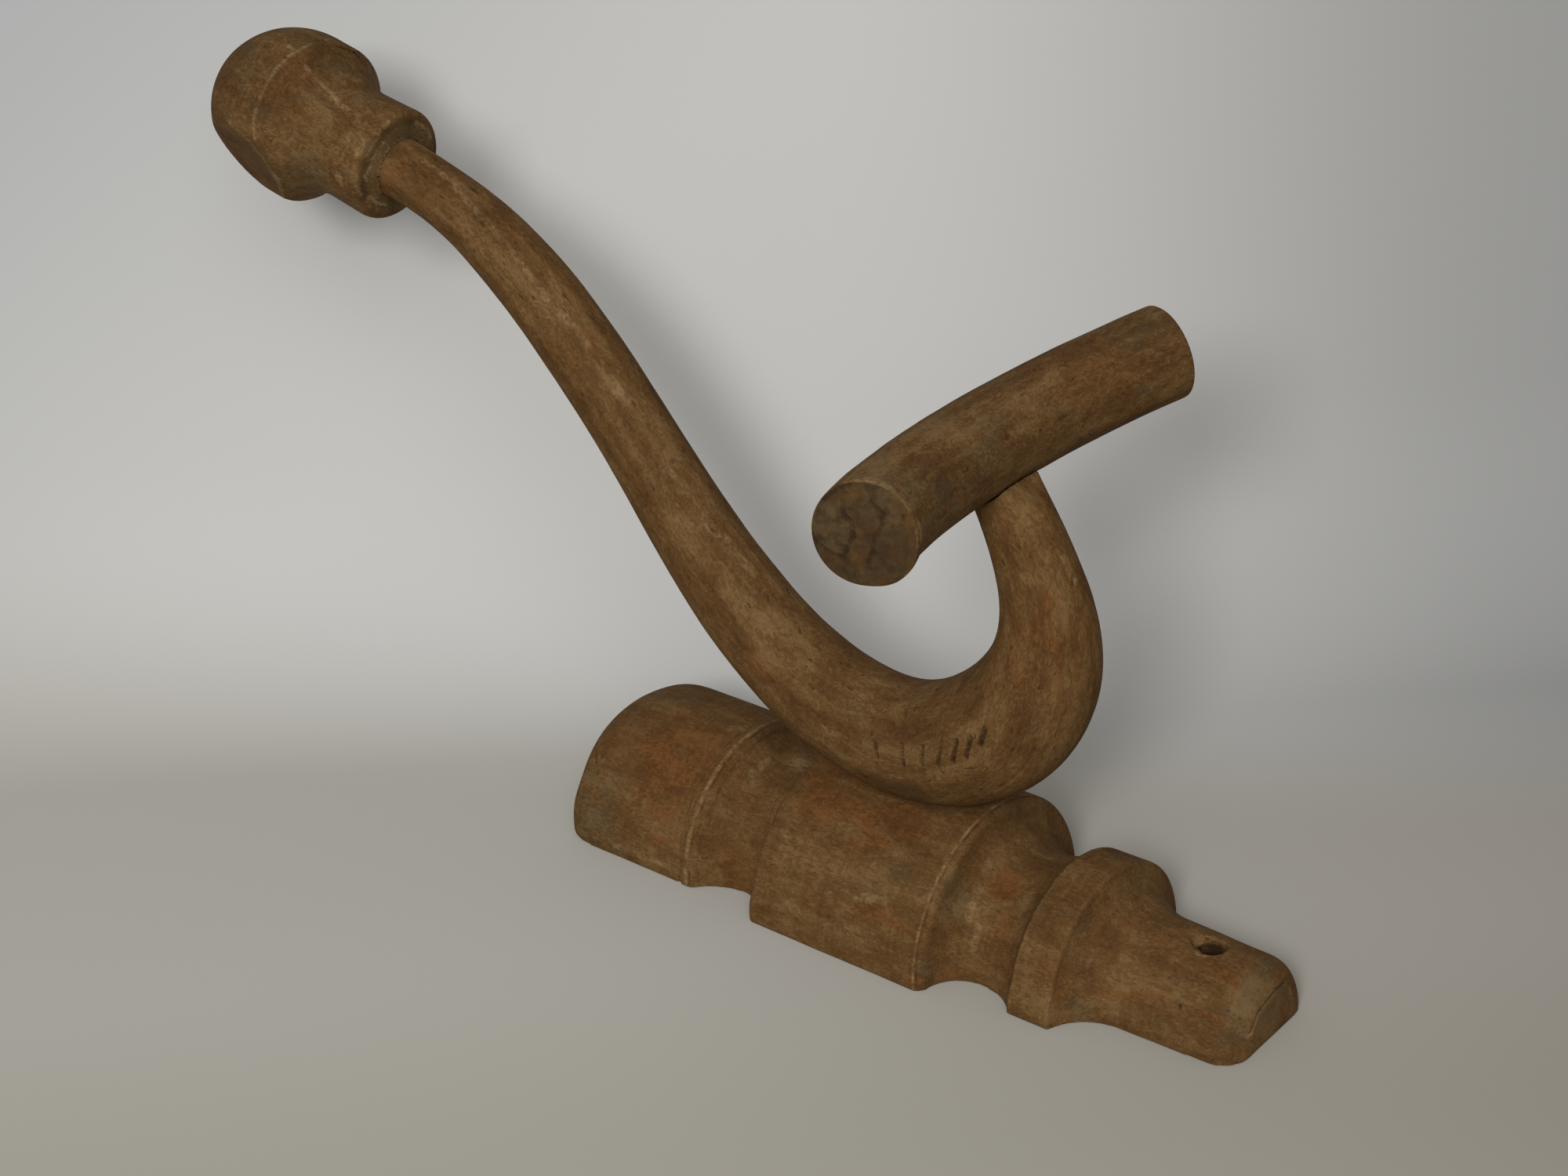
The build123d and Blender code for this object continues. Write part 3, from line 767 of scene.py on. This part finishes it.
class HookColours(bpy.types.PropertyGroup):
    """Tones of the old wood."""

    dark: colour_setting("Dark", "Dark streaks of the wood", (0.061, 0.0285, 0.0098))
    body: colour_setting("Body", "Most of the wood", (0.110, 0.0565, 0.0190))
    light: colour_setting("Light", "Pale streaks of the wood", (0.180, 0.106, 0.044))
    warm: colour_setting("Warm", "Reddish patches", (0.122, 0.049, 0.0145))
    cool: colour_setting("Cool", "Greyish and greenish patches", (0.101, 0.068, 0.0310))
    rubbed: colour_setting("Rubbed", "Edges and lines rubbed pale", (0.206, 0.132, 0.060))
    # Soil also darkens the hollows, as dirt and as painted shade.
    soil: colour_setting("Soil", "Dirt in the hollows and pores", (0.031, 0.018, 0.0095))
    peg: colour_setting("Peg", "The hidden wooden peg", (0.34, 0.20, 0.09))
    steel: colour_setting("Steel", "The hidden screws", (0.20, 0.19, 0.18))
    # The floor and wall colours hold painted light and shade: lighter on the left, darker on the
    # right.
    floor_left_painted_light: colour_setting("Floor, left", "The floor's lit side", (0.445, 0.432, 0.388))
    floor_right_painted_shade: colour_setting("Floor, right", "The floor's dim side", (0.310, 0.284, 0.250))
    wall_left_painted_light: colour_setting("Wall, left", "The backdrop's lit side", (0.552, 0.550, 0.532))
    wall_right_painted_shade: colour_setting("Wall, right", "The backdrop's dim side", (0.330, 0.330, 0.323))


def length_setting(name, description, default):
    """A length in millimetres that the user can change."""
    return bpy.props.FloatProperty(name=name, description=description, default=default, min=0.01)


class HookSizes(bpy.types.PropertyGroup):
    """Sizes of the surface work, in millimetres."""

    base_step: length_setting("Base mesh", "Width of the faces on the base", 0.65)
    arm_step: length_setting("Arm mesh", "Width of the faces on the arm", 0.62)
    knob_step: length_setting("Knob mesh", "Width of the faces on the knob", 0.42)
    bar_step: length_setting("Crossbar mesh", "Width of the faces on the crossbar", 0.42)
    cut_width: length_setting("Cut width", "Half the width of the cuts in the arm", 0.72)
    cut_depth: length_setting("Cut depth", "Depth of the cuts in the arm", 0.8)
    crack_width: length_setting("Crack width", "Half the width of the cracks", 0.42)
    crack_depth: length_setting("Crack depth", "Depth of the cracks", 0.4)
    uneven: length_setting("Unevenness", "Depth of the hollows left by hand work", 0.25)


# --- the pieces
class HOOK_OT_base(bpy.types.Operator):
    """Turned half-round base with its worn edges, cracks and scratches"""

    bl_idname = "hook.base"
    bl_label = "Base"

    def execute(self, context):
        sizes = context.scene.hook_sizes
        piece = fine_copy("base_plate", "turned_base", sizes.base_step)
        wear_down(piece, rounding=0.4, kept=(WALL_SCREW_BORE,))
        divide_near(piece, BASE_CRACKS + BASE_SCRATCHES + BASE_PITS + BORE_SPLINTER,
                    reach=1.2, cuts=3)
        points = places(piece)
        put_grain(piece, points - np.array((0, 0, TURNING_AXIS_RISE)))
        # the inside of the screw's bore is painted near black as painted shade
        from_bore = np.hypot(points[:, 0] - BORE_PLACE[0], points[:, 1] - BORE_PLACE[1])
        bore_painted_shade = 1 - smooth_step(from_bore, *BORE_EDGE)
        bore_painted_shade *= 1 - smooth_step(points[:, 2], *BORE_MOUTH)
        cut = strongest(points, (
            (BASE_CRACKS, sizes.crack_width, 0.6),
            (BASE_PITS, 0.36, 1.1),
            (BORE_SPLINTER, 0.8, 0.5),
            (BASE_SCRATCHES, 0.45, 0.45),
        ))
        paint(piece, BASE_LINES, BASE_SPOTS, warmth=0.12, cut=np.maximum(cut, 1.4 * bore_painted_shade),
              rubbed=0.3 * smooth_step(sharpness(piece), *EDGE_SPAN),
              end=0.15 * smooth_step(np.abs(normals(piece)[:, 0]), *BASE_END_SPAN))
        carve(piece, BASE_CRACKS, sizes.crack_width, sizes.crack_depth)
        carve(piece, BASE_PITS, PIT_WIDTH, PIT_DEPTH)
        carve(piece, BORE_SPLINTER, SPLINTER_WIDTH, SPLINTER_DEPTH)
        make_uneven(piece, sizes.uneven, size=16.0)
        nudge(piece, BASE_NUDGES)
        finish_piece(piece, "base_plate", "base_wood", mottling=1.15, streaks=0.45, turning=0.25,
                     flecks=0.4, pale_rings=BASE_PALE_RINGS, dark_rings=BASE_DARK_RINGS)
        return {"FINISHED"}


def arm_grain(points):
    """Places along the arm's bent middle line, across it in its plane, and sideways."""
    knots = np.array(ARM_LINE)
    before = np.vstack((2 * knots[0] - knots[1], knots, 2 * knots[-1] - knots[-2]))
    share = np.linspace(0, 1, ARM_LINE_STEPS, endpoint=False)[:, None]
    line = []
    for a, b, c, d in zip(before[:-3], before[1:-2], before[2:-1], before[3:]):
        cubic = 2 * a - 5 * b + 4 * c - d + share * (3 * (b - c) + d - a)
        line.append(b + 0.5 * share * (c - a + share * cubic))
    line = np.vstack(line + [knots[-1:]])
    runs = np.diff(line, axis=0)
    reach = np.concatenate(([0], np.cumsum(np.linalg.norm(runs, axis=1))))
    grain = np.zeros((len(points), 3))
    nearest = np.full(len(points), np.inf)
    for start, run, done in zip(line[:-1], runs, reach[:-1]):
        length = np.linalg.norm(run)
        offset = points[:, (0, 2)] - start
        share_along = np.clip(offset @ run / length**2, 0, 1)
        away = offset - share_along[:, None] * run
        distance = (away**2).sum(axis=1)
        closer = distance < nearest
        side = offset @ np.array((-run[1], run[0])) / length
        grain[closer, 0] = done + (share_along * length)[closer]
        grain[closer, 1] = side[closer]
        nearest[closer] = distance[closer]
    grain[:, 2] = points[:, 1]
    return grain


class HOOK_OT_arm(bpy.types.Operator):
    """Bent arm with the cuts on its side and the pared joint under the crossbar"""

    bl_idname = "hook.arm"
    bl_label = "Arm"

    def execute(self, context):
        sizes = context.scene.hook_sizes
        piece = fine_copy("bent_arm", "bent_arm_wood", sizes.arm_step)
        wear_down(piece, rounding=0.5, kept=(KNOB_MOUTH, BAR_JOINT))
        nudge(piece, ((*BAR_JOINT[:2], BAR_JOINT_MOVE),))
        divide_near(piece, ARM_CUTS + ARM_FLECKS, reach=1.4, cuts=3)
        points = places(piece)
        put_grain(piece, arm_grain(points))
        cut = strongest(points, ((ARM_CUTS, sizes.cut_width, 0.7), (ARM_FLECKS, FLECK_WIDTH, 0.55)))
        paint(piece, ARM_LINES, ARM_SPOTS, cut=cut,
              rubbed=0.3 * smooth_step(sharpness(piece), *ARM_EDGE_SPAN))
        carve(piece, ARM_CUTS, sizes.cut_width, sizes.cut_depth)
        carve(piece, ARM_FLECKS, FLECK_WIDTH, FLECK_DEPTH)
        make_uneven(piece, sizes.uneven, size=14.0)
        finish_piece(piece, "bent_arm", "arm_wood", mottling=1.25, streaks=0.8, turning=0.0,
                     flecks=0.7)
        return {"FINISHED"}


class HOOK_OT_knob(bpy.types.Operator):
    """Turned knob with its rubbed ring and flat side"""

    bl_idname = "hook.knob"
    bl_label = "Knob"

    def execute(self, context):
        sizes = context.scene.hook_sizes
        piece = fine_copy("knob", "turned_knob", sizes.knob_step)
        wear_down(piece, rounding=0.4, kept=(KNOB_MOUTH,))
        divide_near(piece, KNOB_CRACKS, reach=1.2, cuts=2)
        points = places(piece)
        rise = math.radians(KNOB_RISE)
        axis = np.array((-math.cos(rise), 0, math.sin(rise)))
        across = np.array((math.sin(rise), 0, math.cos(rise)))
        offset = points - np.array(KNOB_MOUTH[0])
        depth = offset @ axis
        beside = offset - depth[:, None] * axis
        away = np.linalg.norm(beside, axis=1)
        # the socket's rim is closed round the arm
        rim = (away < SOCKET_RADIUS + SOCKET_RIM) & (depth < SOCKET_LIP)
        inward = SOCKET_RADIUS - SOCKET_PINCH - away[rim]
        points[rim] += beside[rim] / away[rim, None] * inward[:, None]
        # old glue and fibres stand up against the arm, more on one side
        glue = np.clip(1 - (away - SOCKET_RADIUS) / GLUE_REACH, 0, 1) ** 1.5
        glue *= 1 - smooth_step(depth, 0, GLUE_DEPTH)
        points -= (glue * GLUE_RISE * (0.6 - 0.4 * beside[:, 1] / away))[:, None] * axis
        put_places(piece, points)
        put_grain(piece, np.stack((depth, offset[:, 1], offset @ across), axis=1))
        face = (1 - smooth_step(depth, *FACE_DEPTH)) * (1 - smooth_step(away, *FACE_EDGE))
        fibres = 1.5 * strokes_mask(points, KNOB_FIBRES, 0.55)
        # fine strands of glue run out over the face
        around = np.arctan2(offset @ across, offset[:, 1])
        strands = face * np.sin(41 * around + 3.1 * away + 2.0 * np.sin(7 * around)) ** 2
        # The flat's sharp rim is painted pale: wear, and a painted highlight.
        edge = smooth_step(sharpness(piece), *EDGE_SPAN) * spot_shape(points, *KNOB_FLAT)
        # The socket's face round the arm is darkened: old glue and dirt, and painted shade in the
        # recess.
        paint(piece, KNOB_LINES, KNOB_SPOTS, coolness=0.28 + 0.4 * face,
              hollow=0.5 * face * (1 - 0.7 * strands) * np.clip(1 - fibres, 0, 1),
              rubbed=np.maximum(fibres, np.maximum(0.8 * edge, 0.45 * strands)),
              cut=strokes_mask(points, KNOB_CRACKS, sizes.crack_width),
              end=0.6 * smooth_step(-normals(piece) @ axis, *KNOB_END_SPAN))
        carve(piece, KNOB_CRACKS, sizes.crack_width, sizes.crack_depth)
        make_uneven(piece, sizes.uneven, size=12.0)
        finish_piece(piece, "knob", "knob_wood", mottling=1.4, streaks=0.3, turning=0.3,
                     flecks=0.3)
        return {"FINISHED"}


class HOOK_OT_crossbar(bpy.types.Operator):
    """Bowed crossbar with its cracked, sawn ends"""

    bl_idname = "hook.crossbar"
    bl_label = "Crossbar"

    def execute(self, context):
        sizes = context.scene.hook_sizes
        piece = fine_copy("crossbar", "bowed_crossbar", sizes.bar_step)
        wear_down(piece, rounding=0.5, kept=())
        divide_near(piece, BAR_END_CRACKS, reach=1.2, cuts=2)
        points = places(piece)
        droop = math.radians(BAR_DROOP)
        inward = np.array((math.cos(droop), 0, math.sin(droop)))
        upward = np.array((-math.sin(droop), 0, math.cos(droop)))
        offset = points - np.array(BAR_MIDDLE) - inward * BAR_BOW_RADIUS
        turn = np.arctan2(offset[:, 1], -(offset @ inward))
        out = np.hypot(offset[:, 1], offset @ inward) - BAR_BOW_RADIUS
        put_grain(piece, np.stack((turn * BAR_BOW_RADIUS, out, offset @ upward), axis=1))
        sine = np.sin(turn)
        lengthwise = np.stack((sine * inward[0], np.cos(turn), sine * inward[2]), axis=1)
        end = smooth_step(np.abs((normals(piece) * lengthwise).sum(axis=1)), *BAR_END_SPAN)
        # The sawn ends and the bands along their cracks are darkened: end grain, dirt and painted
        # shade.
        paint(piece, BAR_LINES, BAR_SPOTS, end=end, coolness=0.18 + 0.3 * end,
              tone=0.14 - 0.82 * end,
              hollow=np.maximum(0.6 * end, 0.95 * strokes_mask(points, BAR_END_CRACKS, 1.1)),
              cut=0.32 * strokes_mask(points, BAR_END_CRACKS, 0.8 * sizes.crack_width))
        carve(piece, BAR_END_CRACKS, sizes.crack_width, 0.4 * sizes.crack_depth)
        make_uneven(piece, sizes.uneven, size=12.0)
        nudge(piece, BAR_NUDGES)
        finish_piece(piece, "crossbar", "crossbar_wood", mottling=1.35, streaks=0.9, turning=0.0,
                     flecks=0.5)
        return {"FINISHED"}


class HOOK_OT_fasteners(bpy.types.Operator):
    """Finishes of the hidden peg and screws"""

    bl_idname = "hook.fasteners"
    bl_label = "Peg and screws"

    def execute(self, context):
        colours = context.scene.hook_colours
        peg, n, shader, noise = hidden_material(
            "peg_wood", colours.peg, darkening=0.6, stretch=(900.0, 900.0, 200.0), detail=3.0,
            span=NOISE_SPAN)
        shader.inputs["Roughness"].default_value = 0.6
        steel, n, shader, noise = hidden_material(
            "screw_steel", colours.steel, darkening=0.45, stretch=(700.0, 700.0, 700.0),
            detail=4.0, span=(0.35, 0.65))
        n.fill(shader, {"Roughness": n.rise(noise, *NOISE_SPAN, 0.6, 0.35), "Metallic": 0.9})
        for name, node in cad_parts.items():
            if name == "crossbar_peg" or name.startswith("arm_screw"):
                node.data.materials.clear()
                node.data.materials.append(peg if name == "crossbar_peg" else steel)
        return {"FINISHED"}


# --- stage, light and camera
VIEW_TURN = 41.903
VIEW_TILT = 27.223
VIEW_ROLL = -4.111
CAMERA_PLACE = (330.2, -404.0, 348.1)
CAMERA_LENS = 63.0
CAMERA_SENSOR = 36.0
CAMERA_NEAR = 10.0

FLOOR_DEPTH = 72.0
SWEEP_RADIUS = 80.0
SWEEP_TURN = 70.0
SWEEP_STEPS = 14
FOLD_TURN = 29.1
# The backdrop's reach forwards and sideways, and the length of its wall, in metres.
STAGE_REACH = 3.0
WALL_LENGTH = 2.0
# Between these places, in metres, the backdrop's colour changes: its painted light and shade, and
# the change from floor to wall.
FLOOR_SPAN = (-0.10, 0.30)
NEAR_SPAN = (0.01, 0.10)
WALL_SPAN = (-0.01, 0.20)
CORNER_SPAN = (0.11, 0.32)
FOLD_SPAN = (0.030, 0.100)
CORNER_SIDE, CORNER_UP = -0.6, 0.8
# Painted shade: the floor darkens towards the front, and the wall towards its upper left corner.
NEAR_PAINTED_SHADE = (0.87, 0.86, 0.83, 1.0)
CORNER_PAINTED_SHADE = (0.72, 0.74, 0.78, 1.0)
BACKDROP_ROUGHNESS = 0.9
BACKDROP_SHINE = 0.1

WORLD_COLOUR = (1.0, 0.975, 0.95, 1.0)
WORLD_STRENGTH = 0.36
# Lamps are: name, direction from their aim, size in metres, power in watts.
LAMP_AIM = (-0.03, 0.0, 0.08)
LAMP_DISTANCE = 1.35
LAMPS = (
    ("broad", (0.46, -0.60, 0.64), 0.9, 5.8),
    ("key", (0.42, -0.77, 0.50), 0.28, 9.0),
)


def add_lamp(name, direction, size, power):
    """A soft square lamp turned to the lamps' aim."""
    aim = Vector(LAMP_AIM)
    place = aim + Vector(direction) * LAMP_DISTANCE
    bpy.ops.object.light_add(type="AREA", location=place)
    lamp = bpy.context.object
    lamp.name = name
    lamp.data.size = size
    lamp.data.energy = power
    lamp.rotation_euler = (aim - place).to_track_quat("-Z", "Y").to_euler()


def backdrop_section():
    """The backdrop's section: depth behind the hook and height, in metres."""
    section = [(-STAGE_REACH, 0.0), (FLOOR_DEPTH * MM, 0.0)]
    for step in range(1, SWEEP_STEPS + 1):
        angle = math.radians(SWEEP_TURN) * step / SWEEP_STEPS
        section.append(((FLOOR_DEPTH + SWEEP_RADIUS * math.sin(angle)) * MM,
                        SWEEP_RADIUS * (1 - math.cos(angle)) * MM))
    lean = math.radians(SWEEP_TURN)
    depth, height = section[-1]
    section.append((depth + WALL_LENGTH * math.cos(lean), height + WALL_LENGTH * math.sin(lean)))
    return section


def backdrop_material(colours, heading, side):
    """A pale finish with painted light, lighter on the left and darker to the right, and painted
    shade at the floor's front and in the wall's upper left corner; it changes softly from the floor
    to the wall.
    """
    paper, n, shader = new_material("backdrop")
    place = n.place("ShaderNodeTexCoord").outputs["Object"]

    def toward(direction, span):
        """The share of the way through a span, in one direction."""
        return n.rise(n.vector("DOT_PRODUCT", place, direction, "Value"), *span)

    # painted light and shade across floor and wall, and painted shade at the floor's front and in
    # the wall's corner
    floor = n.mix(toward(side, FLOOR_SPAN), solid(colours.floor_left_painted_light), solid(colours.floor_right_painted_shade))
    floor = n.mix(toward(-heading, NEAR_SPAN), floor, n.mix(1.0, floor, NEAR_PAINTED_SHADE, "MULTIPLY"))
    wall = n.mix(toward(side, WALL_SPAN), solid(colours.wall_left_painted_light), solid(colours.wall_right_painted_shade))
    corner = (CORNER_SIDE * side.x, CORNER_SIDE * side.y, CORNER_UP)
    wall = n.mix(toward(corner, CORNER_SPAN), wall, n.mix(1.0, wall, CORNER_PAINTED_SHADE, "MULTIPLY"))
    # the wall's colours, paler partly as paper and partly as painted light, begin along a line
    # across the backdrop
    fold = math.radians(FOLD_TURN)
    upward = toward((-math.sin(fold), math.cos(fold), 0.0), FOLD_SPAN)
    n.fill(shader, {"Base Color": n.mix(upward, floor, wall), "Roughness": BACKDROP_ROUGHNESS,
                    "Specular IOR Level": BACKDROP_SHINE})
    return paper


class HOOK_OT_stage(bpy.types.Operator):
    """Pale floor that sweeps up behind the hook, soft lamps and the camera"""

    bl_idname = "hook.stage"
    bl_label = "Stage"

    def execute(self, context):
        turn, tilt, roll = (math.radians(angle) for angle in (VIEW_TURN, VIEW_TILT, VIEW_ROLL))
        heading = Vector((-math.sin(turn), math.cos(turn), 0))
        side = Vector((math.cos(turn), math.sin(turn), 0))
        section = backdrop_section()
        points = [heading * depth + side * reach + Vector((0, 0, height))
                  for depth, height in section for reach in (-STAGE_REACH, STAGE_REACH)]
        faces = [(2 * i, 2 * i + 1, 2 * i + 3, 2 * i + 2) for i in range(len(section) - 1)]
        mesh = bpy.data.meshes.new("backdrop")
        mesh.from_pydata([tuple(point) for point in points], [], faces)
        backdrop = bpy.data.objects.new("backdrop", mesh)
        context.scene.collection.objects.link(backdrop)
        only(backdrop)
        bpy.ops.object.shade_smooth()
        mesh.materials.append(backdrop_material(context.scene.hook_colours, heading, side))
        # light
        world = bpy.data.worlds.new("studio")
        context.scene.world = world
        world.use_nodes = True
        Nodes(world.node_tree).fill(world.node_tree.nodes["Background"],
                                    {"Color": WORLD_COLOUR, "Strength": WORLD_STRENGTH})
        for lamp in LAMPS:
            add_lamp(*lamp)
        # camera
        back = Vector((math.sin(turn) * math.cos(tilt), -math.cos(turn) * math.cos(tilt),
                       math.sin(tilt)))
        upright = back.cross(side)
        right = math.cos(roll) * side + math.sin(roll) * upright
        above = math.cos(roll) * upright - math.sin(roll) * side
        bpy.ops.object.camera_add()
        camera = context.object
        camera.matrix_world = Matrix.Translation(Vector(CAMERA_PLACE) * MM) @ Matrix(
            (right, above, back)).transposed().to_4x4()
        camera.data.lens = CAMERA_LENS
        camera.data.sensor_width = CAMERA_SENSOR
        camera.data.clip_start = CAMERA_NEAR * MM
        context.scene.camera = camera
        context.scene.view_settings.view_transform = "Standard"
        return {"FINISHED"}


class HOOK_PT_panel(bpy.types.Panel):
    """Lists the hook's pieces and settings"""

    bl_idname = "HOOK_PT_panel"
    bl_label = "Double wall hook"
    bl_space_type = "VIEW_3D"
    bl_region_type = "UI"
    bl_category = "Wall hook"

    def draw(self, context):
        for operator in OPERATORS:
            self.layout.operator(operator.bl_idname)
        for settings in (context.scene.hook_sizes, context.scene.hook_colours):
            for name in settings.__annotations__:
                self.layout.prop(settings, name)


OPERATORS = (HOOK_OT_base, HOOK_OT_arm, HOOK_OT_knob, HOOK_OT_crossbar, HOOK_OT_fasteners,
             HOOK_OT_stage)
CLASSES = (HookColours, HookSizes, *OPERATORS, HOOK_PT_panel)


def register():
    for kind in CLASSES:
        bpy.utils.register_class(kind)
    bpy.types.Scene.hook_colours = bpy.props.PointerProperty(type=HookColours)
    bpy.types.Scene.hook_sizes = bpy.props.PointerProperty(type=HookSizes)


def unregister():
    del bpy.types.Scene.hook_colours
    del bpy.types.Scene.hook_sizes
    for kind in reversed(CLASSES):
        bpy.utils.unregister_class(kind)


def main():
    register()
    bpy.ops.hook.base()
    bpy.ops.hook.arm()
    bpy.ops.hook.knob()
    bpy.ops.hook.crossbar()
    bpy.ops.hook.fasteners()
    bpy.ops.hook.stage()


if __name__ == "__main__":
    main()
